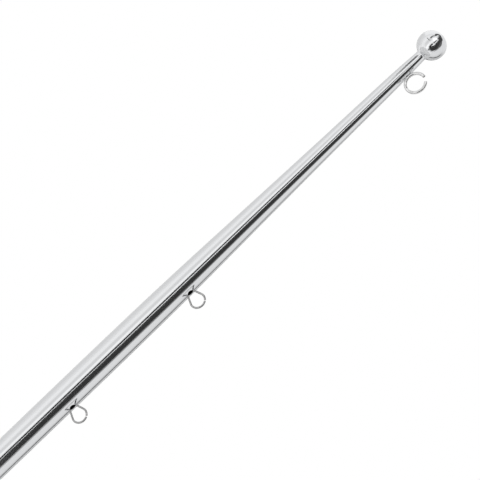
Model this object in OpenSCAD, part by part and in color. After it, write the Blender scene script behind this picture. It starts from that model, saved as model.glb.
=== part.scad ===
// Tapered stainless flagstaff with a ball finial and three open flag rings.
// The staff stands on the origin and runs up +Z. The rings stand out along +X.
// All sizes are in millimetres.

/* [Staff] */
// Length over all, from the flat foot to the top of the ball
staff_length = 600; // [480:10:720]
// Outside diameter of the straight shank
shank_d = 25; // [20:0.5:30]
// Length of the straight shank, up to the start of the taper
shank_length = 130; // [105:5:160]
// Outside diameter at the tip, under the ball
tip_d = 9.2; // [7.5:0.1:11]
// Wall thickness of the tube
wall = 1.5; // [1:0.1:1.8]
// Length of the short, steeper nose at the tip
nose_length = 40; // [30:1:50]
// Outside diameter where the nose meets the long taper
nose_d = 12.4; // [11.5:0.1:14]
// Bevel round the rim of the foot
foot_bevel = 0.4; // [0.2:0.1:0.6]

/* [Ball] */
// Diameter of the ball finial
ball_d = 25; // [20:0.5:30]
// Radius of the hollow fillet between the ball and its neck
neck_fillet = 1.5; // [1:0.1:2]
// Length of the plain neck below the fillet
neck_length = 1.4; // [1:0.1:2]
// Length of the spigot inside the tip of the tube
spigot_length = 14; // [10:1:18]

/* [Upper ring] */
// Distance of the upper ring's centre below the centre of the ball
upper_drop = 32; // [30:1:40]
// Radius of the upper ring, to the middle of its wire
upper_r = 8.85; // [7.5:0.05:11]
// Wire diameter of the upper ring
upper_wire = 2.65; // [2.2:0.05:3.3]
// Angle of the upper ring's gap from straight out towards the tip
upper_gap_at = 65; // [40:1:80]
// Width of the upper ring's gap, as an angle
upper_gap = 34; // [20:1:45]

/* [Middle and lower rings] */
// Distance of the middle ring's centre below the centre of the ball
middle_drop = 287.5; // [240:0.5:330]
// Distance of the lower ring's centre below the centre of the ball
lower_drop = 424; // [355:1:440]
// Radius of the loop, to the middle of its wire
loop_r = 6.45; // [5.5:0.05:7.5]
// Wire diameter of the two lower rings
loop_wire = 1.7; // [1.5:0.05:2.1]
// Height of the loop's centre above the surface of the tube
loop_stand = 10.3; // [9.5:0.1:12]
// Depth of the root bend's centre below the surface of the tube
root_depth = 2; // [1.7:0.1:2.4]
// Radius of the root bend inside the tube, to the middle of its wire
root_r = 2.4; // [2:0.05:2.8]
// Angle of the middle ring's gap from straight out towards the tip
middle_gap_at = 43; // [20:1:60]
// Angle of the lower ring's gap from straight out towards the tip
lower_gap_at = 36; // [20:1:60]
// Width of the gap between the wire ends, as an angle
loop_gap = 8; // [5:1:15]
// Diameter of the hole that a ring's root goes in by
root_hole_d = 5.5; // [4.6:0.1:6.6]

/* [Welds and plug] */
// Length of the weld bead under the upper ring
bead_length = 6.8; // [5:0.1:8]
// Width of the weld bead under the upper ring
bead_width = 4.4; // [3.6:0.1:5]
// Height of the weld bead under the upper ring
bead_height = 1.5; // [1.2:0.1:1.8]
// How far the weld bead at a leg stands out round the wire
leg_bead = 0.6; // [0.5:0.1:0.8]
// Thickness of the plug in the foot
plug_length = 8; // [6:1:10]
// Clearance round what sits inside the tube
seat_fit = 0.05; // [0.02:0.01:0.1]

/* [Hidden] */
$fn = 200;
bright_steel = [0.80, 0.81, 0.82];
weld_steel = [0.62, 0.63, 0.65];

// A length that is more than enough to cut right through something near by
past = 1;
// How far the tube is followed on each side of a weld
near = 8;

ball_z = staff_length - ball_d / 2;
tip_r = tip_d / 2;
shank_r = shank_d / 2;

// The fillet's circle touches both the neck and the ball
fillet_reach = tip_r + neck_fillet;
fillet_span = ball_d / 2 + neck_fillet;
fillet_drop = sqrt(fillet_span * fillet_span - fillet_reach * fillet_reach);
fillet_r_on_ball = fillet_reach * (ball_d / 2) / fillet_span;
fillet_drop_on_ball = fillet_drop * (ball_d / 2) / fillet_span;
tip_z = ball_z - fillet_drop - neck_length;

// The taper's outline: each station is [height, diameter, how fast the diameter grows downwards].
// The belly and the shoulder lie on the long taper, at these shares of its length and growth.
long_top_z = tip_z - nose_length;
long_run = long_top_z - shank_length;
long_growth = shank_d - nose_d;
mean_slope = long_growth / long_run;
nose_slope = (nose_d - tip_d) / nose_length;
belly_at = 0.446;
belly_share = 0.652;
shoulder_at = 0.695;
shoulder_share = 0.952;
stations = [
    [tip_z, tip_d, 1.5 * nose_slope],
    [long_top_z, nose_d, 1.15 * mean_slope],
    [long_top_z - belly_at * long_run, nose_d + belly_share * long_growth, 1.75 * mean_slope],
    [long_top_z - shoulder_at * long_run, nose_d + shoulder_share * long_growth, 0.45 * mean_slope],
    [shank_length, shank_d, 0],
];
steps = 8;

// A smooth curve between two stations, at the share t of the way down from a to b
function blend(a, b, t) =
    let (h = a[0] - b[0])
    (2 * t ^ 3 - 3 * t ^ 2 + 1) * a[1] + (t ^ 3 - 2 * t ^ 2 + t) * h * a[2]
    + (3 * t ^ 2 - 2 * t ^ 3) * b[1] + (t ^ 3 - t ^ 2) * h * b[2];

// Points [radius, height] from the tip down to the top of the shank
taper = [
    for (i = [0 : len(stations) - 2])
        for (k = [0 : steps - 1])
            let (a = stations[i], b = stations[i + 1], t = k / steps)
            [blend(a, b, t) / 2, a[0] + (b[0] - a[0]) * t],
    [shank_r, shank_length],
];

// Outside radius of the tube at a height on its taper
function tube_r(z) = lookup(z, [for (p = taper) [p[1], p[0]]]);

upper_z = ball_z - upper_drop;
middle_z = ball_z - middle_drop;
lower_z = ball_z - lower_drop;

// The legs run straight from the loop to the smaller root bend
leg_span = loop_stand + root_depth;
leg_angle = asin((loop_r - root_r) / leg_span);
leg_length = leg_span * cos(leg_angle);
leg_half_gap = (loop_r - loop_stand * sin(leg_angle)) / cos(leg_angle);

// The legs are a hair slimmer than the bends and run a little way into them, so that they join cleanly
leg_step = 0.01;
leg_run_on = 0.15;

function outline(inset) = [
    for (p = taper) [p[0] - inset, p[1]],
    [shank_r - inset, 0],
];

module tube_solid(inset, below) {
    rotate_extrude()
        polygon(concat(
            [[0, tip_z + below]],
            [[taper[0][0] - inset, tip_z + below]],
            outline(inset),
            [[shank_r - inset, -below], [0, -below]]
        ));
}

// The stretch of the tube's outside that a weld sits on
module tube_near(z) {
    translate([0, 0, z - near])
        cylinder(r1 = tube_r(z - near), r2 = tube_r(z + near), h = 2 * near);
}

// An arc of round wire in the XZ plane, from one angle to another, measured from +X towards +Z
module wire_arc(r, wire, from, to) {
    rotate([90, 0, 0])
        rotate([0, 0, from])
            rotate_extrude(angle = to - from)
                translate([r, 0])
                    circle(d = wire);
}

// Both straight legs of a lower ring, with the loop's centre at the origin
module legs(wire, run_on) {
    for (side = [-1, 1])
        translate([-loop_r * sin(leg_angle), 0, side * loop_r * cos(leg_angle)])
            rotate([0, -90 - side * leg_angle, 0])
                translate([0, 0, -run_on])
                    cylinder(d = wire, h = leg_length + 2 * run_on);
}

// A lower ring: an open loop, two legs and a root bend
module root_ring(gap_at) {
    wire_arc(loop_r, loop_wire, gap_at + loop_gap / 2, 90 + leg_angle);
    wire_arc(loop_r, loop_wire, -90 - leg_angle, gap_at - loop_gap / 2);
    legs(loop_wire - 2 * leg_step, leg_run_on);
    translate([-leg_span, 0, 0])
        wire_arc(root_r, loop_wire, 90 + leg_angle, 270 - leg_angle);
}

// What a lower ring needs cut away in the tube: its hole, and a notch for each leg
module root_cut(z) {
    translate([0, 0, z])
        rotate([0, 90, 0])
            cylinder(d = root_hole_d, h = shank_d);
    translate([tube_r(z) + loop_stand, 0, z])
        legs(loop_wire + 2 * seat_fit, 0);
}

// The bead of weld round one leg of a lower ring, where it meets the outside of the tube
module leg_weld(z, side) {
    difference() {
        translate([tube_r(z), 0, z + side * leg_half_gap])
            sphere(d = loop_wire + 2 * leg_bead);
        tube_near(z);
        root_cut(z);
    }
}

module staff_tube() {
    color(bright_steel)
        difference() {
            tube_solid(0, 0);
            tube_solid(wall, past);
            root_cut(middle_z);
            root_cut(lower_z);
            difference() {
                translate([0, 0, -past])
                    cylinder(r = shank_r + past, h = past + foot_bevel);
                translate([0, 0, -past])
                    cylinder(r1 = shank_r - foot_bevel - past, r2 = shank_r, h = past + foot_bevel);
            }
        }
}

module ball_finial() {
    color(bright_steel) {
        translate([0, 0, ball_z])
            sphere(d = ball_d);
        difference() {
            translate([0, 0, ball_z - fillet_drop])
                cylinder(r = fillet_r_on_ball, h = fillet_drop - fillet_drop_on_ball);
            translate([0, 0, ball_z - fillet_drop])
                rotate_extrude()
                    translate([fillet_reach, 0])
                        circle(r = neck_fillet);
        }
        translate([0, 0, tip_z])
            cylinder(r = tip_r, h = fillet_drop + neck_length);
        translate([0, 0, tip_z - spigot_length])
            cylinder(r = tip_r - wall - seat_fit, h = spigot_length + past);
    }
}

module foot_plug() {
    color(bright_steel)
        cylinder(r = shank_r - wall - seat_fit, h = plug_length);
}

module upper_ring() {
    color(bright_steel)
        translate([tube_r(upper_z) + upper_wire / 2 + upper_r, 0, upper_z])
            wire_arc(upper_r, upper_wire, upper_gap_at + upper_gap / 2, upper_gap_at - upper_gap / 2 + 360);
}

module upper_ring_weld() {
    color(weld_steel)
        difference() {
            translate([tube_r(upper_z), 0, upper_z])
                intersection() {
                    translate([-bead_height, 0, 0])
                        rotate([0, 90, 0])
                            cylinder(d1 = 2 * bead_length - upper_wire, d2 = upper_wire, h = 2 * bead_height);
                    translate([0, 0, -bead_length])
                        cylinder(d = bead_width, h = 2 * bead_length);
                }
            tube_near(upper_z);
            translate([tube_r(upper_z) + upper_wire / 2 + upper_r, 0, upper_z])
                wire_arc(upper_r, upper_wire, 90, 270);
        }
}

module middle_ring() {
    color(bright_steel)
        translate([tube_r(middle_z) + loop_stand, 0, middle_z])
            root_ring(middle_gap_at);
}

module middle_ring_top_weld() {
    color(weld_steel)
        leg_weld(middle_z, 1);
}

module middle_ring_bottom_weld() {
    color(weld_steel)
        leg_weld(middle_z, -1);
}

module lower_ring() {
    color(bright_steel)
        translate([tube_r(lower_z) + loop_stand, 0, lower_z])
            root_ring(lower_gap_at);
}

module lower_ring_top_weld() {
    color(weld_steel)
        leg_weld(lower_z, 1);
}

module lower_ring_bottom_weld() {
    color(weld_steel)
        leg_weld(lower_z, -1);
}

staff_tube();
ball_finial();
foot_plug();
upper_ring();
upper_ring_weld();
middle_ring();
middle_ring_top_weld();
middle_ring_bottom_weld();
lower_ring();
lower_ring_top_weld();
lower_ring_bottom_weld();
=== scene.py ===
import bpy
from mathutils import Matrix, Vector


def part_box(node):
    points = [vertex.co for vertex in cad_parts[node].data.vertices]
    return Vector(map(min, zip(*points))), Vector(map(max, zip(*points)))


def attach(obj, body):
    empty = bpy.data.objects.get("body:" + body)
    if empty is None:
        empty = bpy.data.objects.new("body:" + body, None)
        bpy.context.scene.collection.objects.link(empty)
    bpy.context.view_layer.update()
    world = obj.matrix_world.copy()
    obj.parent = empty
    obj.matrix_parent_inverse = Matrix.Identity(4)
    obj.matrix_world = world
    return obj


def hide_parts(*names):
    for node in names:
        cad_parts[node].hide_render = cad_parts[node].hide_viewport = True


bl_info = {
    "name": "Stainless Flagstaff",
    "version": (1, 0, 0),
    "blender": (4, 5, 0),
    "location": "3D Viewport > Sidebar > Flagstaff",
    "description": "Finishes a tapered stainless flagstaff round its packed frame",
    "category": "Object",
}

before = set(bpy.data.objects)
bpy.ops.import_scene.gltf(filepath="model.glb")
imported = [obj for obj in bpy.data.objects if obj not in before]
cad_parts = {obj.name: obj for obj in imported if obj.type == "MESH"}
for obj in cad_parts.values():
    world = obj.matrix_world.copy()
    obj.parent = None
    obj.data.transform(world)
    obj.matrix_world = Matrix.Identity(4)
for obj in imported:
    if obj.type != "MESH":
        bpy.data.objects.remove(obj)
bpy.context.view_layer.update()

import math

import bmesh
import bpy
import numpy as np
from bpy.props import FloatProperty, FloatVectorProperty, IntProperty, PointerProperty
from mathutils import Matrix, Vector

# Sizes are in metres and the staff stands on the origin, up +Z, with its rings out along +X.
MM = 0.001
LOWER_RINGS = ("middle_ring", "lower_ring")

# The tube's faces are finer in a window round each root hole: its half width in degrees, its half
# height, and the spacing of the rows inside it, below and between the windows, and above them.
WINDOW_TURN = 32
WINDOW_REACH = 6.5 * MM
WINDOW_ROWS = 0.9 * MM
LOW_ROWS = 2.6 * MM
HIGH_ROWS = 2.2 * MM

# How far the underside of a bead lies inside the tube's surface.
UNDER_BEAD = 0.25 * MM
UNDER_LEG_BEAD = 0.12 * MM

# The lower rings' wire is painted black, as the shade inside the tube, up to the first of these
# distances from the staff's axis, and has no painted shade from the second.
ROOT_SHADE_FULL, ROOT_SHADE_NONE = 10.6 * MM, 11.6 * MM

# The width of the camera's sensor, in the lens's own millimetres.
SENSOR = 36

# The camera looks level from this side: BACK points to it and ACROSS points to its right hand.
CAMERA_SIDE = math.radians(-58)
BACK = Vector((math.cos(CAMERA_SIDE), math.sin(CAMERA_SIDE), 0))
ACROSS = Vector((-math.sin(CAMERA_SIDE), math.cos(CAMERA_SIDE), 0))


def millimetres(name, description, default, low, high, digits=5):
    """A length setting whose default and limits are given in millimetres."""
    return FloatProperty(name=name, description=description, default=default * MM, min=low * MM,
                         max=high * MM, unit="LENGTH", precision=digits)


def degrees(name, description, default):
    """An angle setting whose default is given in degrees."""
    return FloatProperty(name=name, description=description, default=math.radians(default),
                         subtype="ANGLE")


def grey(name, description, default):
    """A colour setting that starts as a plain grey."""
    return FloatVectorProperty(name=name, description=description, default=(default,) * 3,
                               subtype="COLOR", min=0, max=1)


class FlagstaffShape(bpy.types.PropertyGroup):
    """Sizes of the details that the finish adds to the frame."""

    root_hole: millimetres("Root Hole", "Diameter of the hole that a lower ring's root goes in by",
                           5.5, 4, 8)
    root_bend: millimetres("Root Bend", "Radius of the root bend, to the middle of the wire",
                           2.4, 1.5, 3)
    seat_fit: millimetres("Seat Fit", "Clearance between a leg and its notch in the tube",
                          0.05, 0, 0.2)
    hole_ease: millimetres("Hole Edge", "Width of the rounding on the edge of a root hole",
                           0.14, 0.02, 0.4)
    neck_fillet: millimetres("Neck Fillet", "Radius of the hollow between the ball and its neck",
                             1.5, 0.5, 2.5)
    wire_ease: millimetres("Wire End Edge", "Radius of the rounding on a cut wire end",
                           0.16, 0.02, 0.4)
    upper_gap_at: degrees("Upper Gap", "Angle of the upper ring's gap from straight out", 65)
    upper_gap: degrees("Upper Gap Width", "Width of the upper ring's gap, as an angle", 34)
    middle_gap_at: degrees("Middle Gap", "Angle of the middle ring's gap from straight out", 43)
    lower_gap_at: degrees("Lower Gap", "Angle of the lower ring's gap from straight out", 36)
    loop_gap: degrees("Loop Gap Width", "Width of the two lower rings' gaps, as an angle", 8)
    leg_bead: millimetres("Leg Bead", "How far the weld stands out round a leg", 0.5, 0.3, 1.5)
    ripple_pitch: millimetres("Ripple Pitch", "Distance between the ripples of a weld bead",
                              0.75, 0.3, 2)
    ripple_height: millimetres("Ripple Height", "Height of the ripples of a weld bead",
                               0.06, 0, 0.3)
    plug_chamfer: millimetres("Plug Chamfer", "Width of the chamfer round the plug's face",
                              0.3, 0.05, 1)
    sides: IntProperty(
        name="Sides", description="Faces round the tube and the ball", default=160, min=48, max=256)


class FlagstaffFinish(bpy.types.PropertyGroup):
    """Colours and polish of the metals."""

    steel_colour: grey("Steel", "Colour of the polished staff and ball", 0.80)
    wire_colour: grey("Upper Ring", "Colour of the upper ring's wire", 0.80)
    loop_colour: grey("Lower Rings", "Colour of the two lower rings' wire", 0.46)
    weld_colour: grey("Weld", "Colour of the buffed welds", 0.34)
    plug_colour: grey("Plug", "Colour of the turned plug", 0.66)
    mirror_roughness: FloatProperty(
        name="Mirror Roughness", description="Roughness where the polish is cleanest",
        default=0.015, min=0, max=0.5, subtype="FACTOR")
    haze_roughness: FloatProperty(
        name="Haze", description="How much rougher the handled patches are",
        default=0.035, min=0, max=0.5, subtype="FACTOR")


class FlagstaffStudio(bpy.types.PropertyGroup):
    """The floor, the room that the metal mirrors and the camera."""

    floor_radius: millimetres("Floor Radius", "Radius of the round floor", 440, 100, 5000, digits=2)
    floor_colour: grey("Floor", "Colour of the floor", 0.86)
    wall_light: FloatProperty(
        name="Wall Light", description="Brightness of the pale walls in the metal",
        default=0.88, min=0, max=5)
    camera_height: FloatProperty(
        name="Camera Height", description="Height that the camera looks level at",
        default=360.1 * MM, unit="LENGTH")
    camera_aside: FloatProperty(
        name="Camera Aside", description="How far the camera stands to the rings' side",
        default=6.5 * MM, unit="LENGTH", precision=4)
    camera_distance: millimetres("Camera Distance", "Distance from the camera to the staff",
                                 2200, 500, 10000, digits=2)
    view_width: millimetres("View Width", "Width of the view at the staff", 400, 50, 3000, digits=2)
    camera_roll: degrees("Camera Roll", "How far the camera leans over to its side", 46.19)


# ---- Measures taken from the frame ----

def node_data(node):
    """A node's points and the directions that they face."""
    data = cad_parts[node].data
    points = np.empty(len(data.vertices) * 3)
    facing = np.empty(len(data.vertices) * 3)
    data.vertices.foreach_get("co", points)
    data.vertices.foreach_get("normal", facing)
    return points.reshape(-1, 3), facing.reshape(-1, 3)


class TubeOutline:
    """The outside of the tube as one smooth curve of radius against height."""

    def __init__(self):
        points, facing = node_data("staff_tube")
        radius = np.hypot(points[:, 0], points[:, 1])
        outward = (facing[:, 0] * points[:, 0] + facing[:, 1] * points[:, 1]) / radius
        skin = (outward > 0.9) & (points[:, 0] < 0)
        inner = (outward < -0.9) & (points[:, 0] < 0)
        levels = np.unique(np.round(points[skin, 2], 5))
        self.z = levels
        self.r = np.array([radius[skin & (abs(points[:, 2] - z) < 6e-6)].max() for z in levels])
        foot = points[inner, 2].min()
        self.wall = self.r[0] - radius[inner & (points[:, 2] < foot + 1e-5)].max()
        self.top = levels[-1]
        self.bevel = levels[0]
        rise = np.diff(self.r) / np.diff(self.z)
        slope = np.zeros(len(levels))
        slope[1:-1] = (rise[1:] + rise[:-1]) / 2
        slope[-1] = 1.5 * rise[-1] - 0.5 * slope[-2]
        flat = np.concatenate(([True], abs(rise) < 1e-6))
        slope[flat] = 0
        self.slope = slope

    def radius(self, z):
        """Outside radius at one height or at many."""
        z = np.clip(z, self.z[0], self.z[-1])
        i = np.clip(np.searchsorted(self.z, z) - 1, 0, len(self.z) - 2)
        h = self.z[i + 1] - self.z[i]
        t = (z - self.z[i]) / h
        return ((2 * t**3 - 3 * t**2 + 1) * self.r[i] + (t**3 - 2 * t**2 + t) * h * self.slope[i]
                + (3 * t**2 - 2 * t**3) * self.r[i + 1] + (t**3 - t**2) * h * self.slope[i + 1])

    def front(self, y, z, inset=0):
        """How far out along X the tube's surface stands, on the rings' side."""
        r = float(self.radius(z)) - inset
        return math.sqrt(r * r - y * y)

    def lean(self, z):
        """How fast the radius grows with height."""
        step = 0.05 * MM
        return (self.radius(z + step) - self.radius(z - step)) / (2 * step)


def ring_measures(node, shape):
    """Where a lower ring's wire runs, read from its node."""
    low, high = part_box(node)
    wire = high.y - low.y
    loop_r = (high.z - low.z - wire) / 2
    loop_x = high.x - wire / 2 - loop_r
    root_x = low.x + wire / 2 + shape.root_bend
    return {
        "z": (low.z + high.z) / 2, "wire": wire, "loop_r": loop_r, "loop_x": loop_x,
        "root_x": root_x, "root_r": shape.root_bend,
        "splay": math.asin((loop_r - shape.root_bend) / (loop_x - root_x)),
    }


def leg_offset(ring, x):
    """Height of a leg's middle above the ring's centre, at a distance out along X."""
    run = ring["loop_x"] - x
    return (ring["loop_r"] - run * math.sin(ring["splay"])) / math.cos(ring["splay"])


# ---- Meshes ----

class Shape:
    """Points and faces gathered for one piece."""

    def __init__(self):
        self.points = []
        self.faces = []
        self.skins = []

    def row(self, points):
        """Adds points and gives their numbers."""
        first = len(self.points)
        self.points.extend(tuple(float(v) for v in p) for p in points)
        return list(range(first, len(self.points)))

    def face(self, corners, skin=""):
        self.faces.append(tuple(corners))
        self.skins.append(skin)

    def band(self, a, b, closed=True, skin=""):
        """Joins two rows of one length with four-sided faces."""
        for i in range(len(a) if closed else len(a) - 1):
            j = (i + 1) % len(a)
            self.face((a[i], a[j], b[j], b[i]), skin)

    def stack(self, rows):
        """Joins each row to the next."""
        for a, b in zip(rows, rows[1:]):
            self.band(a, b)

    def cap(self, row, point):
        """Closes a row on one new point."""
        tip = self.row([point])[0]
        for i in range(len(row)):
            self.face((row[i], row[(i + 1) % len(row)], tip))


def make_piece(name, shape, material, stands_for, exact=None, sharp=35, second=None):
    """Turns a shape into a smooth piece that rides on the frame and stands for a node.

    Faces in the skins that second names take its own material instead of the main one."""
    mesh = bpy.data.meshes.new(name)
    mesh.from_pydata(shape.points, [], shape.faces)
    work = bmesh.new()
    work.from_mesh(mesh)
    bmesh.ops.recalc_face_normals(work, faces=work.faces)
    loose = [v for v in work.verts if not v.link_faces]
    bmesh.ops.delete(work, geom=loose, context="VERTS")
    work.to_mesh(mesh)
    work.free()
    mesh.polygons.foreach_set("use_smooth", [True] * len(mesh.polygons))
    mesh.set_sharp_from_angle(angle=math.radians(sharp))
    if exact:
        set_exact_normals(mesh, shape.skins, exact)
    mesh.materials.append(material)
    if second:
        other, parts = second
        mesh.materials.append(other)
        mesh.polygons.foreach_set("material_index", [int(skin in parts) for skin in shape.skins])
    piece = bpy.data.objects.new(name, mesh)
    bpy.context.scene.collection.objects.link(piece)
    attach(piece, "root")
    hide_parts(stands_for)
    return piece


def set_exact_normals(mesh, skins, exact):
    """Gives the named skins the true surface's normals, so that they mirror cleanly."""
    points = np.empty(len(mesh.vertices) * 3)
    mesh.vertices.foreach_get("co", points)
    points = points.reshape(-1, 3)
    corner = np.empty(len(mesh.loops), dtype=np.int64)
    mesh.loops.foreach_get("vertex_index", corner)
    size = np.empty(len(mesh.polygons), dtype=np.int64)
    mesh.polygons.foreach_get("loop_total", size)
    skin = np.repeat(np.array(skins), size)
    normals = np.zeros((len(corner), 3))
    for name, normal_at in exact.items():
        chosen = skin == name
        normals[chosen] = normal_at(points[corner[chosen]])
    mesh.normals_split_custom_set(normals.tolist())


def circle_row(shape, radius, z, sides):
    """A level ring of points round the staff's axis."""
    turn = [2 * math.pi * i / sides for i in range(sides)]
    return shape.row((radius * math.cos(a), radius * math.sin(a), z) for a in turn)


def hole_reach(angle, hole, leg, notch, stretch):
    """How far a root hole and its leg notches reach from the hole's middle, at an angle from +Y."""
    across, along = math.cos(angle), abs(math.sin(angle))
    # The far side of the notch, an ellipse centred on the leg
    a = across**2 + (along / stretch) ** 2
    b = along * leg / stretch**2
    c = (leg / stretch) ** 2 - notch**2
    inside = b * b - a * c
    return max(hole, (b + math.sqrt(inside)) / a) if inside > 0 else hole


def spaced(start, end, step):
    """Even steps from start up to, and not with, end."""
    count = max(1, math.ceil((end - start) / step))
    return [start + (end - start) * i / count for i in range(count)]


def tube_skin(shape, rows, sides, inset, windows, outline, skin):
    """One skin of the tube with a window left open round each root hole."""
    grid = []
    for z in rows:
        grid.append(circle_row(shape, float(outline.radius(z)) - inset, z, sides))
    for k in range(len(rows) - 1):
        for i in range(sides):
            side = i if i < sides / 2 else i - sides
            if any(w["from"] <= k < w["to"] and -w["half"] <= side < w["half"] for w in windows):
                continue
            j = (i + 1) % sides
            shape.face((grid[k][i], grid[k][j], grid[k + 1][j], grid[k + 1][i]), skin)
    return grid


def window_edge(grid, window):
    """The loop of grid points round a window."""
    half, low, high = window["half"], window["from"], window["to"]
    edge = [grid[low][i] for i in range(-half, half)]
    edge += [grid[k][half] for k in range(low, high)]
    edge += [grid[high][i] for i in range(half, -half, -1)]
    edge += [grid[k][-half] for k in range(high, low, -1)]
    return edge


def hole_patch(shape, edge, window, outline, inset, reach, rings, skin):
    """Fills a window up to the rim of its hole, and gives the rim."""
    z0 = window["z"]
    outer = [(shape.points[i][1], shape.points[i][2] - z0) for i in edge]
    last = edge
    for step in range(1, rings + 1):
        keep = (1 - step / rings) ** 1.5
        made = []
        for y, up in outer:
            angle = math.atan2(up, y)
            rim = reach(angle)
            near_y, near_up = rim * math.cos(angle), rim * math.sin(angle)
            py, pz = near_y + (y - near_y) * keep, z0 + near_up + (up - near_up) * keep
            made.append((outline.front(py, pz, inset), py, pz))
        row = shape.row(made)
        shape.band(last, row, skin=skin)
        last = row
    return last


def tube_rows(outline, rings):
    """Heights of the tube's rows of points, closer together in the windows."""
    marks = sorted(r["z"] + way * WINDOW_REACH for r in rings for way in (-1, 1))
    rows = []
    start = outline.bevel
    for mark in marks:
        inside = any(abs(mark - WINDOW_REACH - r["z"]) < 1e-6 for r in rings)
        rows += spaced(start, mark, WINDOW_ROWS if inside else LOW_ROWS)
        start = mark
    return rows + spaced(start, outline.top, HIGH_ROWS) + [outline.top]


def open_window(ring, rows, sides):
    """Which rows and sides of the tube are left open round a ring's root hole."""
    def nearest(z):
        return min(range(len(rows)), key=lambda k: abs(rows[k] - z))

    return {
        "from": nearest(ring["z"] - WINDOW_REACH), "to": nearest(ring["z"] + WINDOW_REACH),
        "half": max(3, round(sides * WINDOW_TURN / 360)), "z": ring["z"],
    }


def cut_root_hole(shape, ring, window, outer, inner, outline, settings):
    """Fills a window of both skins up to its root hole, whose outer edge is eased."""
    ease = settings.hole_ease
    surface = float(outline.radius(ring["z"]))
    notch = ring["wire"] / 2 + settings.seat_fit
    stretch = 1 / math.cos(ring["splay"])

    def reach_at(x):
        leg = leg_offset(ring, x)
        return lambda angle: hole_reach(angle, settings.root_hole / 2, leg, notch, stretch)

    reach_out, reach_in = reach_at(surface), reach_at(surface - outline.wall)
    edge = window_edge(outer, window)
    last = hole_patch(shape, edge, window, outline, 0, lambda a: reach_out(a) + ease,
                      rings=9, skin="outside")
    deep = hole_patch(shape, window_edge(inner, window), window, outline, outline.wall, reach_in,
                      rings=6, skin="inside")
    for part in (0.3, 0.65, 1.0):
        turn = part * math.pi / 2
        made = []
        for i in edge:
            angle = math.atan2(shape.points[i][2] - ring["z"], shape.points[i][1])
            r = reach_out(angle) + ease * (1 - math.sin(turn))
            y, z = r * math.cos(angle), ring["z"] + r * math.sin(angle)
            made.append((outline.front(y, z) - ease * (1 - math.cos(turn)), y, z))
        row = shape.row(made)
        shape.band(last, row)
        last = row
    shape.band(last, deep, skin="hole")


def round_foot(shape, outline, outer, inner, sides):
    """The tube's foot: a small rounded bevel and the flat end of the wall."""
    last = outer
    for part in (0.35, 0.7, 1.0):
        turn = part * math.pi / 2
        r = outline.r[0] - outline.bevel * (1 - math.cos(turn))
        row = circle_row(shape, r, outline.bevel * (1 - math.sin(turn)), sides)
        shape.band(last, row)
        last = row
    bore_foot = circle_row(shape, outline.r[0] - outline.wall, 0, sides)
    shape.band(last, bore_foot)
    shape.band(bore_foot, inner)


def build_tube(settings, material, bore):
    """The tapered tube, with its bore, foot bevel and root holes."""
    outline = TubeOutline()
    sides = settings.sides
    rings = [ring_measures(node, settings) for node in LOWER_RINGS]
    rows = tube_rows(outline, rings)
    windows = [open_window(ring, rows, sides) for ring in rings]
    shape = Shape()
    outer = tube_skin(shape, rows, sides, 0, windows, outline, "outside")
    inner = tube_skin(shape, rows, sides, outline.wall, windows, outline, "inside")
    for ring, window in zip(rings, windows):
        cut_root_hole(shape, ring, window, outer, inner, outline, settings)
    round_foot(shape, outline, outer[0], inner[0], sides)
    shape.band(outer[-1], inner[-1])

    def outside(points):
        r = np.hypot(points[:, 0], points[:, 1])
        lean = outline.lean(points[:, 2])
        size = np.sqrt(1 + lean**2)
        return np.stack((points[:, 0] / r, points[:, 1] / r, -lean), 1) / size[:, None]

    def inside(points):
        return -outside(points)

    return make_piece("staff_tube_skin", shape, material, "staff_tube",
                      {"outside": outside, "inside": inside}, second=(bore, ("inside", "hole")))


def build_ball(settings, material):
    """The ball finial with its neck and hollow fillet."""
    low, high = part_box("ball_finial")
    outline = TubeOutline()
    sides = settings.sides
    ball_r = (high.x - low.x) / 2
    ball_z = high.z - ball_r
    neck_r = float(outline.r[-1])
    fillet = settings.neck_fillet
    reach = neck_r + fillet
    drop = math.sqrt((ball_r + fillet) ** 2 - reach**2)
    meet = math.atan2(drop, reach)
    line = [(neck_r, outline.top)]
    for z in spaced(outline.top, ball_z - drop, 0.35 * MM)[1:]:
        line.append((neck_r, z))
    # Round the hollow, from the neck's side to where it meets the ball
    hollow_steps, ball_steps = 10, 90
    for k in range(hollow_steps + 1):
        angle = math.pi - meet * k / hollow_steps
        line.append((reach + fillet * math.cos(angle), ball_z - drop + fillet * math.sin(angle)))
    # Up the ball, from the hollow to just short of the top
    for k in range(1, ball_steps):
        angle = (math.pi / 2 + meet) * k / ball_steps - meet
        line.append((ball_r * math.cos(angle), ball_z + ball_r * math.sin(angle)))
    shape = Shape()
    rows = [circle_row(shape, r, z, sides) for r, z in line]
    shape.stack(rows)
    shape.cap(rows[0], (0, 0, outline.top))
    shape.cap(rows[-1], (0, 0, high.z))
    return make_piece("ball_finial_skin", shape, material, "ball_finial")


def build_plug(settings, material):
    """The plug that closes the foot, with a chamfer round its turned face."""
    low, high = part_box("foot_plug")
    radius = (high.x - low.x) / 2
    chamfer = settings.plug_chamfer
    sides = 128
    # A small centre mark, the flat face, the chamfer, the side and the upper chamfer
    mark_depth = 0.34 * MM
    line = [(0.35 * MM, 0.22 * MM), (0.6 * MM, 0.04 * MM), (0.72 * MM, 0)]
    line += [(r, 0) for r in np.linspace(1.2 * MM, radius - chamfer - 0.1 * MM, 14)]
    line += [(radius - chamfer, 0), (radius - chamfer * 0.45, chamfer * 0.3), (radius, chamfer)]
    line += [(radius, high.z - chamfer), (radius - chamfer, high.z)]
    shape = Shape()
    rows = [circle_row(shape, r, low.z + z if z < chamfer * 2 else z, sides) for r, z in line]
    shape.stack(rows)
    shape.cap(rows[0], (0, 0, low.z + mark_depth))
    shape.cap(rows[-1], (0, 0, high.z))
    return make_piece("foot_plug_turned", shape, material, "foot_plug", sharp=25)


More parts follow.
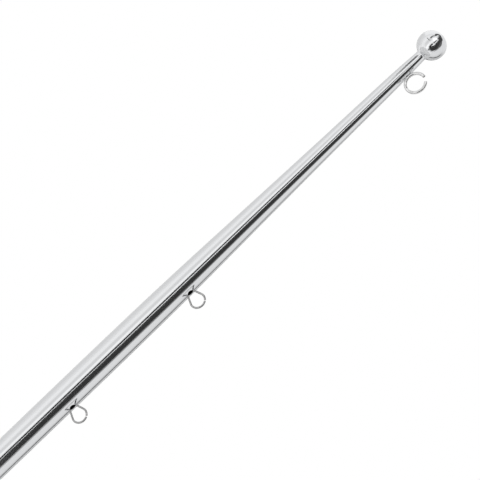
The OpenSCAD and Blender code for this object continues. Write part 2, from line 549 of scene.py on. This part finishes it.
def sweep_wire(shape, path, wire, ease, sides=48):
    """Round wire along a path in the XZ plane. Each step is (x, z, angle of the section)."""
    radius = wire / 2

    def section(x, z, angle, r, along):
        nx, nz = math.cos(angle), math.sin(angle)
        tx, tz = -nz, nx
        points = []
        for i in range(sides):
            turn = 2 * math.pi * i / sides
            out, side = r * math.cos(turn), r * math.sin(turn)
            points.append((x + out * nx + along * tx, side, z + out * nz + along * tz))
        return shape.row(points)

    first, last = path[0], path[-1]
    # How much of its rounding a cut end has grown by, and how far along it has gone
    eased = [(0, 0), (0.35, 0.06), (0.7, 0.29), (0.92, 0.6), (1, 1)]
    rows = [section(*first, radius - ease * (1 - out), ease * along) for out, along in eased]
    rows += [section(*p, radius, 0) for p in path[1:-1]]
    rows += [section(*last, radius - ease * (1 - out), -ease * along)
             for out, along in reversed(eased)]
    shape.stack(rows)
    for end, row in ((first, rows[0]), (last, rows[-1])):
        mid = section(*end, (radius - ease) * 0.5, 0)
        shape.band(row, mid)
        shape.cap(mid, (end[0], 0, end[1]))


def arc_steps(x, z, radius, start, end, step):
    """Steps of a path round an arc."""
    count = max(2, math.ceil(abs(end - start) / step))
    for k in range(count + 1):
        angle = start + (end - start) * k / count
        yield (x + radius * math.cos(angle), z + radius * math.sin(angle), angle)


def build_upper_ring(settings, material):
    """The upper flag ring: an open circle of heavier wire."""
    low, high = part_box("upper_ring")
    wire = high.y - low.y
    radius = (high.z - low.z - wire) / 2
    x, z = low.x + wire / 2 + radius, (low.z + high.z) / 2
    start = settings.upper_gap_at + settings.upper_gap / 2
    end = settings.upper_gap_at - settings.upper_gap / 2 + 2 * math.pi
    shape = Shape()
    path = list(arc_steps(x, z, radius, start, end, math.radians(1.6)))
    sweep_wire(shape, path, wire, settings.wire_ease)
    return make_piece("upper_ring_wire", shape, material, "upper_ring")


def build_root_ring(node, gap_at, settings, material):
    """A lower flag ring: an open loop, two legs and a root bend inside the tube."""
    ring = ring_measures(node, settings)
    splay, z = ring["splay"], ring["z"]
    half = settings.loop_gap / 2
    fine = math.radians(2)
    top, bottom = math.pi / 2 + splay, 3 * math.pi / 2 - splay
    path = list(arc_steps(ring["loop_x"], z, ring["loop_r"], gap_at + half, top, fine))
    root = list(arc_steps(ring["root_x"], z, ring["root_r"], top, bottom, math.radians(6)))
    finish = gap_at - half + 2 * math.pi
    back = list(arc_steps(ring["loop_x"], z, ring["loop_r"], bottom, finish, fine))

    def leg(a, b):
        count = 22
        return [(a[0] + (b[0] - a[0]) * k / count, a[1] + (b[1] - a[1]) * k / count, a[2])
                for k in range(1, count)]

    path += leg(path[-1], root[0]) + root + leg(root[-1], back[0]) + back
    shape = Shape()
    sweep_wire(shape, path, ring["wire"], settings.wire_ease, sides=36)
    return make_piece(node + "_wire", shape, material, node)


def build_upper_weld(settings, material):
    """The long bead that holds the upper ring, rippled along its length."""
    low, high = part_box("upper_ring_weld")
    outline = TubeOutline()
    ring_low, ring_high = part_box("upper_ring")
    wire = ring_high.y - ring_low.y
    z0 = (low.z + high.z) / 2
    long, wide = (high.z - low.z) / 2, (high.y - low.y) / 2
    height = 0.56 * wire
    pitch, ripple = settings.ripple_pitch, settings.ripple_height
    shape = Shape()
    turns, steps = 72, 22

    def point(q, angle, sink):
        up, y = long * q * math.cos(angle), wide * q * math.sin(angle)
        fall = (1 - q**2.4) ** 0.75
        wave = math.cos(2 * math.pi * (up - 0.35 * y * y / wide) / pitch)
        rise = height * fall + ripple * wave * min(1, 4 * (1 - q)) * min(1, 3 * q)
        rough = 0.03 * MM * math.sin(5 * angle + 9 * q) * (1 - q)
        x = outline.front(y, z0 + up) + (rise + rough if not sink else -UNDER_BEAD)
        return (min(x, high.x), y, z0 + up)

    rows = []
    for k in range(1, steps + 1):
        q = k / steps
        rows.append(shape.row(point(q, 2 * math.pi * i / turns, False) for i in range(turns)))
    under = shape.row(point(0.97, 2 * math.pi * i / turns, True) for i in range(turns))
    shape.stack(rows)
    shape.band(rows[-1], under)
    shape.cap(rows[0], point(0, 0, False))
    shape.cap(under, point(0, 0, True))
    return make_piece("upper_ring_bead", shape, material, "upper_ring_weld", sharp=60)


def build_leg_weld(node, ring_node, side, settings, material):
    """The bead round the outer side of one leg of a lower ring."""
    outline = TubeOutline()
    ring = ring_measures(ring_node, settings)
    surface = float(outline.radius(ring["z"]))
    z0 = ring["z"] + side * leg_offset(ring, surface)
    wire_r = ring["wire"] / 2
    bead = settings.leg_bead
    pitch, ripple = settings.ripple_pitch, settings.ripple_height
    lean = math.tan(ring["splay"])
    spread = math.radians(98)
    turns, steps = 54, 12
    shape = Shape()
    rows = []
    for i in range(turns + 1):
        angle = -spread + 2 * spread * i / turns
        fade = max(0.04, 1 - (abs(angle) / spread) ** 6)
        wave = math.cos(2 * math.pi * angle * (wire_r + bead / 2) / pitch)
        size = bead * fade * (1 + 0.5 * ripple / bead * wave)
        made = []
        for k in range(steps + 1):
            turn = math.pi / 2 * k / steps
            out = wire_r * 0.9 + (size + 0.1 * wire_r) * math.sin(turn) ** 0.9
            rise = size * 0.95 * math.cos(turn) ** 0.9 + ripple * 0.6 * wave * math.sin(2 * turn)
            y = out * math.sin(angle)
            z = z0 + side * (out * math.cos(angle) + rise * lean)
            made.append((outline.front(y, z) + rise, y, z))
        for out in (wire_r * 0.9 + size * 0.9, wire_r * 0.85):
            y, z = out * math.sin(angle), z0 + side * out * math.cos(angle)
            made.append((outline.front(y, z) - UNDER_LEG_BEAD, y, z))
        rows.append(shape.row(made))
    shape.stack(rows)
    shape.face(rows[0])
    shape.face(rows[-1])
    return make_piece(node + "_bead", shape, material, node, sharp=60)


# ---- Materials ----

def add_node(tree, kind, place, **values):
    """A node at a place in the tree, with its plain settings."""
    node = tree.nodes.new(kind)
    node.location = (place[0] * 200, place[1] * 200)
    for key, value in values.items():
        setattr(node, key, value)
    return node


def feed(tree, socket, value):
    """Links a socket to an input, or sets the input to a plain value."""
    if isinstance(value, bpy.types.NodeSocket):
        tree.links.new(value, socket)
    else:
        socket.default_value = value


def math_node(tree, place, operation, *inputs, clamp=False):
    """A Math node whose inputs are numbers or sockets. Gives its output."""
    node = add_node(tree, "ShaderNodeMath", place, operation=operation, use_clamp=clamp)
    for socket, value in zip(node.inputs, inputs):
        feed(tree, socket, value)
    return node.outputs[0]


def vector_node(tree, place, operation, *inputs):
    """A Vector Math node whose inputs are vectors or sockets."""
    node = add_node(tree, "ShaderNodeVectorMath", place, operation=operation)
    for socket, value in zip(node.inputs, inputs):
        feed(tree, socket, value)
    return node


def noise(tree, place, where, scale, detail, roughness=0.5, dimensions="3D"):
    """Noise over positions, or over one distance in 1D. Gives its value."""
    node = add_node(tree, "ShaderNodeTexNoise", place, noise_dimensions=dimensions)
    feed(tree, node.inputs["W" if dimensions == "1D" else "Vector"], where)
    feed(tree, node.inputs["Scale"], scale)
    feed(tree, node.inputs["Detail"], detail)
    feed(tree, node.inputs["Roughness"], roughness)
    return node.outputs["Fac"]


def ramp(tree, place, value, zero_at, one_at, curve="LINEAR"):
    """0 to 1 as a value goes from one number to the other, and level beyond them."""
    node = add_node(tree, "ShaderNodeMapRange", place, interpolation_type=curve)
    feed(tree, node.inputs["Value"], value)
    feed(tree, node.inputs["From Min"], zero_at)
    feed(tree, node.inputs["From Max"], one_at)
    return node.outputs["Result"]


def new_group(name, inputs, outputs):
    """An empty shader group with its named sockets."""
    group = bpy.data.node_groups.new(name, "ShaderNodeTree")
    for label, kind, default in inputs:
        socket = group.interface.new_socket(name=label, in_out="INPUT", socket_type=kind)
        if default is not None:
            socket.default_value = default
    for label, kind in outputs:
        group.interface.new_socket(name=label, in_out="OUTPUT", socket_type=kind)
    start = add_node(group, "NodeGroupInput", (-6, 0))
    end = add_node(group, "NodeGroupOutput", (6, 0))
    return group, start, end


def buffing_group():
    """Fine buffing lines, faint scratches and a soft orange peel, as one height and one mask."""
    number, vector = "NodeSocketFloat", "NodeSocketVector"
    group, start, end = new_group(
        "buffing_lines",
        [("Position", vector, None), ("Line Density", number, 1.0), ("Line Depth", number, 1.0),
         ("Peel Depth", number, 1.0)],
        [("Height", number), ("Scratches", number)])
    given = start.outputs
    squeezed = vector_node(group, (-5, 1), "MULTIPLY", given["Position"], (260, 260, 5200))
    denser = vector_node(group, (-4, 1), "SCALE", squeezed.outputs[0])
    feed(group, denser.inputs["Scale"], given["Line Density"])
    lines = noise(group, (-3, 1), denser.outputs[0], 1, 4)
    peel = noise(group, (-3, -1), given["Position"], 170, 1)
    deep = math_node(group, (-1, 1), "MULTIPLY", lines, given["Line Depth"])
    soft = math_node(group, (-1, -1), "MULTIPLY", peel, given["Peel Depth"])
    feed(group, end.inputs["Height"], math_node(group, (1, 0), "ADD", deep, soft))
    # Long thin scratches that run along the staff, here and there
    streak = vector_node(group, (-5, -3), "MULTIPLY", given["Position"], (2600, 2600, 38))
    hair = noise(group, (-3, -3), streak.outputs[0], 1, 2)
    feed(group, end.inputs["Scratches"], ramp(group, (0, -3), hair, 0.66, 0.74))
    return group


def handling_group():
    """Soft patches where hands have dulled the polish, with small dried spots."""
    number, vector = "NodeSocketFloat", "NodeSocketVector"
    group, start, end = new_group(
        "handling_haze",
        [("Position", vector, None), ("Patch Size", number, 0.04), ("Spots", number, 0.5)],
        [("Haze", number)])
    given = start.outputs
    finer = math_node(group, (-5, 1), "DIVIDE", 1.0, given["Patch Size"])
    patch = noise(group, (-3, 1), given["Position"], finer, 5, roughness=0.62)
    spread = ramp(group, (-1, 1), patch, 0.42, 0.70)
    dots = add_node(group, "ShaderNodeTexVoronoi", (-3, -1))
    feed(group, dots.inputs["Vector"], given["Position"])
    feed(group, dots.inputs["Scale"], 95)
    small = ramp(group, (-1, -1), dots.outputs["Distance"], 0.17, 0.08)
    few = math_node(group, (1, -1), "MULTIPLY", small, given["Spots"])
    feed(group, end.inputs["Haze"], math_node(group, (3, 0), "MAXIMUM", spread, few))
    return group


def place_group(tree, group, place, **values):
    """A group at a place in a tree, with its inputs set or linked by name."""
    node = add_node(tree, "ShaderNodeGroup", place, node_tree=group)
    for label, value in values.items():
        feed(tree, node.inputs[label.replace("_", " ")], value)
    return node


def mix_colour(tree, place, factor, first, second):
    """A colour mix whose ends are plain colours or sockets. Gives its output."""
    node = add_node(tree, "ShaderNodeMix", place, data_type="RGBA")
    feed(tree, node.inputs["Factor"], factor)
    sockets = [s for s in node.inputs if s.type == "RGBA"]
    for socket, value in zip(sockets, (first, second)):
        feed(tree, socket, value)
    return [s for s in node.outputs if s.type == "RGBA"][0]


def shade(colour, amount):
    """A colour made darker by an amount, with its alpha."""
    return tuple(c * amount for c in colour) + (1,)


class Metal:
    """A metal material being made, with object positions and the haze of handling."""

    def __init__(self, name, colour, handling, patch_size, spots):
        self.colour = colour
        self.material = bpy.data.materials.new(name)
        self.material.use_nodes = True
        self.tree = self.material.node_tree
        self.shader = self.tree.nodes["Principled BSDF"]
        self.set("Base Color", (*colour, 1))
        self.set("Metallic", 1)
        self.where = add_node(self.tree, "ShaderNodeTexCoord", (-7, 0)).outputs["Object"]
        haze = self.place(handling, (-5, 1), Patch_Size=patch_size, Spots=spots)
        self.haze = haze.outputs["Haze"]

    def set(self, label, value):
        """Sets or links one of the shader's inputs."""
        feed(self.tree, self.shader.inputs[label], value)

    def place(self, group, place, **values):
        """A shared group, fed with object positions."""
        return place_group(self.tree, group, place, Position=self.where, **values)

    def rough(self, clean, more):
        """A roughness that starts clean and has more where the haze is."""
        return math_node(self.tree, (-3, 1), "MULTIPLY_ADD", self.haze, more, clean)

    def dulled(self, amount):
        """The metal's colour, darker by an amount where the haze is."""
        return mix_colour(self.tree, (-2, 2), self.haze, shade(self.colour, 1),
                          shade(self.colour, amount))

    def bump(self, height, strength, distance):
        """Stands the surface out by a height."""
        node = add_node(self.tree, "ShaderNodeBump", (-1, -3))
        for label, value in (("Height", height), ("Strength", strength), ("Distance", distance)):
            feed(self.tree, node.inputs[label], value)
        self.set("Normal", node.outputs["Normal"])

    def off_axis(self, place):
        """Distance from the staff's axis."""
        flat = vector_node(self.tree, place, "MULTIPLY", self.where, (1, 1, 0))
        out = vector_node(self.tree, (place[0] + 1, place[1]), "LENGTH", flat.outputs[0])
        return out.outputs["Value"]

    def painted_root_shade(self, centre, reach):
        """1 close to a weld's middle, broken up and fading outwards: the mask of a painted shade.
        """
        gap = vector_node(self.tree, (-6, 4), "DISTANCE", self.where, centre)
        broken = noise(self.tree, (-6, 5), self.where, 900, 2)
        uneven = math_node(self.tree, (-5, 4), "MULTIPLY_ADD", broken, reach * 0.8,
                           gap.outputs["Value"])
        return ramp(self.tree, (-4, 4), uneven, reach * 1.45, reach * 1.2)


def polished_metal(finish, buffing, handling):
    """Mirror polished steel for the tube and the ball, with painted shade round the upper ring's
    root.
    """
    metal = Metal("polished_steel", finish.steel_colour, handling, patch_size=0.045, spots=0.5)
    marks = metal.place(buffing, (-5, -1), Line_Depth=0.55, Peel_Depth=1.0)
    rough = metal.rough(finish.mirror_roughness, finish.haze_roughness)
    scratches = marks.outputs["Scratches"]
    metal.set("Roughness", math_node(metal.tree, (-2, 1), "MULTIPLY_ADD", scratches, 0.05, rough))
    # Painted shade: the tube is darkened round the upper ring's root, where the ring meets the
    # tube.
    low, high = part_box("upper_ring_weld")
    painted_root_shade = metal.painted_root_shade(Vector((low.x, 0, (low.z + high.z) / 2)), 4.2 * MM)
    colour = mix_colour(metal.tree, (-1, 2), painted_root_shade, metal.dulled(0.96), (0.10, 0.10, 0.10, 1))
    metal.set("Base Color", colour)
    metal.bump(marks.outputs["Height"], 0.02, 0.00001)


def wire_metal(name, colour, shaded_root, buffing, handling):
    """Polished wire with faint drawing lines. One with a shaded root is painted black at its root,
    as the shade inside the tube.
    """
    metal = Metal(name, colour, handling, patch_size=0.006, spots=0.3)
    marks = metal.place(buffing, (-5, -1), Line_Density=0.7, Line_Depth=1.0, Peel_Depth=1.0)
    metal.set("Roughness", metal.rough(0.04, 0.08))
    tint = metal.dulled(0.84)
    if shaded_root:
        inside = ramp(metal.tree, (-4, 3), metal.off_axis((-6, 3)), ROOT_SHADE_NONE, ROOT_SHADE_FULL)
        # Painted shade: near-black colour where the wire lies inside the tube.
        tint = mix_colour(metal.tree, (-1, 2), inside, tint, (0.03, 0.03, 0.03, 1))
    metal.set("Base Color", tint)
    metal.bump(marks.outputs["Height"], 0.08, 0.00004)


def weld_metal(finish, handling):
    """Buffed weld, bright on its ripples and darker in the hollows."""
    metal = Metal("weld", finish.weld_colour, handling, patch_size=0.0016, spots=0.8)
    metal.set("Roughness", metal.rough(0.20, 0.30))
    metal.set("Base Color", metal.dulled(0.3))
    metal.bump(noise(metal.tree, (-5, -1), metal.where, 2600, 3), 0.35, 0.0001)


def turned_metal(finish, handling):
    """Turned steel for the plug, with fine rings about the staff's axis."""
    metal = Metal("turned_steel", finish.plug_colour, handling, patch_size=0.008, spots=0.6)
    metal.set("Roughness", metal.rough(0.26, 0.16))
    metal.set("Base Color", metal.dulled(0.82))
    grooves = noise(metal.tree, (-3, -1), metal.off_axis((-6, -1)), 4200, 2, dimensions="1D")
    metal.bump(grooves, 0.5, 0.00008)


def bore_metal(handling):
    """The tube's unpolished inside, painted near black as the shade in the bore."""
    # Painted shade: the near-black colour stands in for the shade inside the tube.
    metal = Metal("bore_painted_shade", (0.05, 0.048, 0.045), handling, patch_size=0.004, spots=0.9)
    metal.set("Metallic", 0.3)
    metal.set("Roughness", metal.rough(0.55, 0.25))
    metal.set("Base Color", mix_colour(metal.tree, (-2, 2), metal.haze,
                                       (0.030, 0.029, 0.028, 1), (0.015, 0.014, 0.013, 1)))
    metal.bump(metal.haze, 0.4, 0.0001)


def floor_paint(studio):
    """Plain pale paint for the floor."""
    material = bpy.data.materials.new("pale_floor")
    material.use_nodes = True
    shader = material.node_tree.nodes["Principled BSDF"]
    shader.inputs["Base Color"].default_value = (*studio.floor_colour, 1)
    shader.inputs["Roughness"].default_value = 0.9
    return material


# ---- The room that the metal mirrors ----

def card_group():
    """A soft-edged panel of the room. Its sides may lean with height. All angles are in degrees."""
    number = "NodeSocketFloat"
    plain = {"Turn": 0, "Rise": 0, "Left": -10, "Right": 10, "Left Lean": 0, "Right Lean": 0,
             "Bottom": -90, "Top": 90, "Soft": 4, "End Soft": 8}
    group, start, end = new_group(
        "room_card", [(label, number, value) for label, value in plain.items()], [("Mask", number)])
    given = start.outputs

    def leaning(row, side):
        """Where a side stands at this height."""
        return math_node(group, (-4, row), "MULTIPLY_ADD", given["Rise"], given[side + " Lean"],
                         given[side])

    def past(row, value, edge, soft):
        """0 to 1 as a value passes a soft edge."""
        low, high = [math_node(group, (-2, row - way), "MULTIPLY_ADD", given[soft], way, edge)
                     for way in (-0.5, 0.5)]
        return ramp(group, (-1, row), value, low, high, "SMOOTHSTEP")

    past_left = past(3, given["Turn"], leaning(3, "Left"), "Soft")
    past_right = past(1, given["Turn"], leaning(1, "Right"), "Soft")
    past_bottom = past(-1, given["Rise"], given["Bottom"], "End Soft")
    past_top = past(-3, given["Rise"], given["Top"], "End Soft")
    across = math_node(group, (1, 2), "SUBTRACT", past_left, past_right, clamp=True)
    up = math_node(group, (1, -2), "SUBTRACT", past_bottom, past_top, clamp=True)
    feed(group, end.inputs["Mask"], math_node(group, (3, 0), "MULTIPLY", across, up))
    return group


# What stands round the staff. Turn is measured from the camera's side towards the rings, rise
# from level. A card is its name, its brightness and these sizes. The leans may be left out.
CARD_SIZES = ("Left", "Right", "Bottom", "Top", "Soft", "End_Soft", "Left_Lean", "Right_Lean")
ROOM = (
    ("pale floor glow", 1.06, -200, 60, -84, -46, 30, 12),
    ("high left wall", 1.05, -190, -96, 14, 60, 20, 14),
    ("grey side wall", 0.62, 104, 162, -55, 13, 24, 26),
    ("dark side post", 0.03, 116, 125, -50, 4, 3, 12),
    ("bright left wall", 1.03, -82, -52, -90, 90, 24, 8),
    ("left wall shade", 0.79, -176, -106, -40, 12, 32, 12),
    ("far left shade", 0.76, -200, -164, -40, 14, 26, 12),
    ("near left shade", 0.8, -50, -33, -30, 25, 14, 8),
    ("near left glow", 1.12, -28, -11, -50, 70, 9, 14),
    ("soft box", 1.4, -38, -6, 32, 64, 10, 10),
    ("low glow", 1.25, -24, -4, -50, -18, 12, 14),
    ("hanging cloth", 0.05, -43.6, -29.6, 26, 66, 5, 4, -0.55, -0.55),
    ("cloth above", 0.05, -170, -72, 61, 72, 8, 2),
    ("cloth end", 0.07, -200, -150, 57, 100, 10, 3),
    ("blind", 0.0, -41.3, -78.6, 9.0, 12.9, 3, 0.6, -2.8, 3.9),
    ("doorway", 0.04, 5.4, 48.5, -38, 100, 3, 16, 0.16, 0.27),
    ("doorway head", 0.05, 30, 45, 20, 100, 4, 8, 0, 0.63),
    ("doorway foot", 0.08, 4, 18, -50, -32, 8, 8),
    ("door edge", 0.16, 48.5, 55, -30, 60, 7, 20, 0, 0.2),
    ("post beside it", 0.0, -9.4, 3.4, -30, 10, 1.5, 3),
    ("tall post", 0.03, -6, 3, 17, 56, 2, 6),
    ("light sliver", 1.25, 3.4, 7.8, -14, 18, 1.4, 8, 0.12, 0.42),
    ("tall sliver", 0.98, 4, 12, 20, 50, 3, 8),
    ("ceiling near", 0.07, -22, 100, 67, 100, 16, 7),
    ("ceiling beam", 0.07, 90, 200, 68, 100, 10, 3),
    ("ceiling", 0.06, -200, 200, 80, 100, 1, 10),
    ("back doorway", 0.05, 163, 200, -38, 14, 4, 8),
    ("back doorway side", 0.05, -200, -170, -38, 14, 4, 8),
    ("far corner", 0.14, 166, 200, -74, -20, 14, 14),
)


def light_room(studio):
    """A pale room with a dark doorway and a few panels, for the metal to mirror."""
    world = bpy.context.scene.world or bpy.data.worlds.new("room")
    bpy.context.scene.world = world
    world.use_nodes = True
    tree = world.node_tree
    tree.nodes.clear()
    card = card_group()
    direction = add_node(tree, "ShaderNodeTexCoord", (-12, 0)).outputs["Generated"]

    def along(row, axis):
        """How far the direction points along an axis."""
        return vector_node(tree, (-10, row), "DOT_PRODUCT", direction, axis).outputs["Value"]

    turn = math_node(tree, (-9, 2), "ARCTAN2", along(2, ACROSS), along(1, BACK))
    turn = math_node(tree, (-8, 2), "DEGREES", turn)
    rise = math_node(tree, (-9, 0), "ARCSINE", along(0, Vector((0, 0, 1))))
    rise = math_node(tree, (-8, 0), "DEGREES", rise)
    level = studio.wall_light
    for i, (label, brightness, *sizes) in enumerate(ROOM):
        panel = place_group(tree, card, (i - 6, 3), Turn=turn, Rise=rise,
                            **dict(zip(CARD_SIZES, sizes)))
        panel.label = label
        mix = add_node(tree, "ShaderNodeMix", (i - 6, 1), data_type="FLOAT")
        for socket, value in zip(mix.inputs, (panel.outputs["Mask"], None, level, brightness)):
            if value is not None:
                feed(tree, socket, value)
        level = mix.outputs[0]
    seen = add_node(tree, "ShaderNodeLightPath", (10, 3)).outputs["Is Camera Ray"]
    mirrored = add_node(tree, "ShaderNodeBackground", (12, 1))
    feed(tree, mirrored.inputs["Color"], level)
    backdrop = add_node(tree, "ShaderNodeBackground", (12, -1))
    feed(tree, backdrop.inputs["Color"], (1, 1, 1, 1))
    choose = add_node(tree, "ShaderNodeMixShader", (14, 0))
    for socket, value in zip(choose.inputs, (seen, mirrored.outputs[0], backdrop.outputs[0])):
        feed(tree, socket, value)
    output = add_node(tree, "ShaderNodeOutputWorld", (16, 0))
    feed(tree, output.inputs["Surface"], choose.outputs[0])


def lay_floor(studio, material):
    """A round pale floor under the foot."""
    shape = Shape()
    rings, sides = 6, 96
    rows = [circle_row(shape, studio.floor_radius * (k + 1) / rings, 0, sides)
            for k in range(rings)]
    shape.stack(rows)
    shape.cap(rows[0], (0, 0, 0))
    mesh = bpy.data.meshes.new("floor")
    mesh.from_pydata(shape.points, [], shape.faces)
    mesh.materials.append(material)
    floor = bpy.data.objects.new("floor", mesh)
    floor.location.z = -0.2 * MM
    bpy.context.scene.collection.objects.link(floor)


def hang_light():
    """One wide soft light overhead, which the metal doesn't mirror."""
    data = bpy.data.lights.new("soft_top", "AREA")
    data.shape = "DISK"
    data.size = 1.6
    data.energy = 9
    lamp = bpy.data.objects.new("soft_top", data)
    lamp.location = (-0.3, -0.5, 1.9)
    lamp.rotation_euler = (Vector((0, 0, 0.2)) - lamp.location).to_track_quat("-Z", "Y").to_euler()
    lamp.visible_glossy = False
    lamp.visible_camera = False
    bpy.context.scene.collection.objects.link(lamp)


def set_camera(studio):
    """A long lens, level and leaning over, at the staff's side."""
    data = bpy.data.cameras.new("camera")
    data.sensor_width = SENSOR
    data.lens = SENSOR * studio.camera_distance / studio.view_width
    data.clip_start, data.clip_end = 0.05, 50
    camera = bpy.data.objects.new("camera", data)
    roll = studio.camera_roll
    right = Vector((0, 0, 1)) * math.sin(roll) + ACROSS * math.cos(roll)
    up = Vector((0, 0, 1)) * math.cos(roll) - ACROSS * math.sin(roll)
    aim = Vector((0, 0, studio.camera_height)) + ACROSS * studio.camera_aside
    turn = Matrix((right, up, BACK)).transposed()
    camera.matrix_world = Matrix.Translation(aim + BACK * studio.camera_distance) @ turn.to_4x4()
    bpy.context.scene.collection.objects.link(camera)
    bpy.context.scene.camera = camera


# ---- Operators ----

def made(name):
    """A metal that has been made already."""
    if name not in bpy.data.materials:
        raise RuntimeError("make the metals first")
    return bpy.data.materials[name]


class FLAGSTAFF_OT_metals(bpy.types.Operator):
    """Make the staff's metal finishes"""

    bl_idname = "flagstaff.metals"
    bl_label = "Make Metals"

    def execute(self, context):
        finish = context.scene.flagstaff_finish
        buffing, handling = buffing_group(), handling_group()
        polished_metal(finish, buffing, handling)
        wire_metal("upper_wire", finish.wire_colour, False, buffing, handling)
        wire_metal("loop_wire", finish.loop_colour, True, buffing, handling)
        weld_metal(finish, handling)
        turned_metal(finish, handling)
        bore_metal(handling)
        return {"FINISHED"}


class FLAGSTAFF_OT_tube(bpy.types.Operator):
    """Build the tapered tube with its root holes"""

    bl_idname = "flagstaff.tube"
    bl_label = "Build Tube"

    def execute(self, context):
        build_tube(context.scene.flagstaff_shape, made("polished_steel"), made("bore_painted_shade"))
        return {"FINISHED"}


class FLAGSTAFF_OT_ball(bpy.types.Operator):
    """Build the ball finial and its neck"""

    bl_idname = "flagstaff.ball"
    bl_label = "Build Ball"

    def execute(self, context):
        build_ball(context.scene.flagstaff_shape, made("polished_steel"))
        return {"FINISHED"}


class FLAGSTAFF_OT_plug(bpy.types.Operator):
    """Build the plug in the foot"""

    bl_idname = "flagstaff.plug"
    bl_label = "Build Foot Plug"

    def execute(self, context):
        build_plug(context.scene.flagstaff_shape, made("turned_steel"))
        return {"FINISHED"}


class FLAGSTAFF_OT_rings(bpy.types.Operator):
    """Bend the three flag rings from wire"""

    bl_idname = "flagstaff.rings"
    bl_label = "Build Flag Rings"

    def execute(self, context):
        shape = context.scene.flagstaff_shape
        build_upper_ring(shape, made("upper_wire"))
        build_root_ring("middle_ring", shape.middle_gap_at, shape, made("loop_wire"))
        build_root_ring("lower_ring", shape.lower_gap_at, shape, made("loop_wire"))
        return {"FINISHED"}


class FLAGSTAFF_OT_welds(bpy.types.Operator):
    """Lay the weld beads at the roots of the rings"""

    bl_idname = "flagstaff.welds"
    bl_label = "Build Welds"

    def execute(self, context):
        shape = context.scene.flagstaff_shape
        build_upper_weld(shape, made("weld"))
        for ring in LOWER_RINGS:
            build_leg_weld(ring + "_top_weld", ring, 1, shape, made("weld"))
            build_leg_weld(ring + "_bottom_weld", ring, -1, shape, made("weld"))
        return {"FINISHED"}


class FLAGSTAFF_OT_stage(bpy.types.Operator):
    """Set up the floor, the light and the camera"""

    bl_idname = "flagstaff.stage"
    bl_label = "Set Up Stage"

    def execute(self, context):
        studio = context.scene.flagstaff_studio
        context.scene.view_settings.view_transform = "Standard"
        light_room(studio)
        lay_floor(studio, floor_paint(studio))
        hang_light()
        set_camera(studio)
        return {"FINISHED"}


class FLAGSTAFF_PT_panel(bpy.types.Panel):
    """Lists the flagstaff's operators and settings"""

    bl_idname = "FLAGSTAFF_PT_panel"
    bl_label = "Flagstaff"
    bl_space_type = "VIEW_3D"
    bl_region_type = "UI"
    bl_category = "Flagstaff"

    def draw(self, context):
        layout = self.layout
        for operator in OPERATORS:
            layout.operator(operator.bl_idname)
        for group in SETTINGS:
            box = layout.box()
            settings = getattr(context.scene, group)
            for name in settings.__annotations__:
                box.prop(settings, name)


OPERATORS = (
    FLAGSTAFF_OT_metals,
    FLAGSTAFF_OT_tube,
    FLAGSTAFF_OT_ball,
    FLAGSTAFF_OT_plug,
    FLAGSTAFF_OT_rings,
    FLAGSTAFF_OT_welds,
    FLAGSTAFF_OT_stage,
)
SETTINGS = {
    "flagstaff_shape": FlagstaffShape,
    "flagstaff_finish": FlagstaffFinish,
    "flagstaff_studio": FlagstaffStudio,
}
CLASSES = (*SETTINGS.values(), *OPERATORS, FLAGSTAFF_PT_panel)


def register():
    for cls in CLASSES:
        bpy.utils.register_class(cls)
    for name, group in SETTINGS.items():
        setattr(bpy.types.Scene, name, PointerProperty(type=group))


def unregister():
    for name in SETTINGS:
        delattr(bpy.types.Scene, name)
    for cls in reversed(CLASSES):
        bpy.utils.unregister_class(cls)


def main():
    """Builds everything in order."""
    register()
    bpy.ops.flagstaff.metals()
    bpy.ops.flagstaff.tube()
    bpy.ops.flagstaff.ball()
    bpy.ops.flagstaff.plug()
    bpy.ops.flagstaff.rings()
    bpy.ops.flagstaff.welds()
    bpy.ops.flagstaff.stage()


if __name__ == "__main__":
    main()
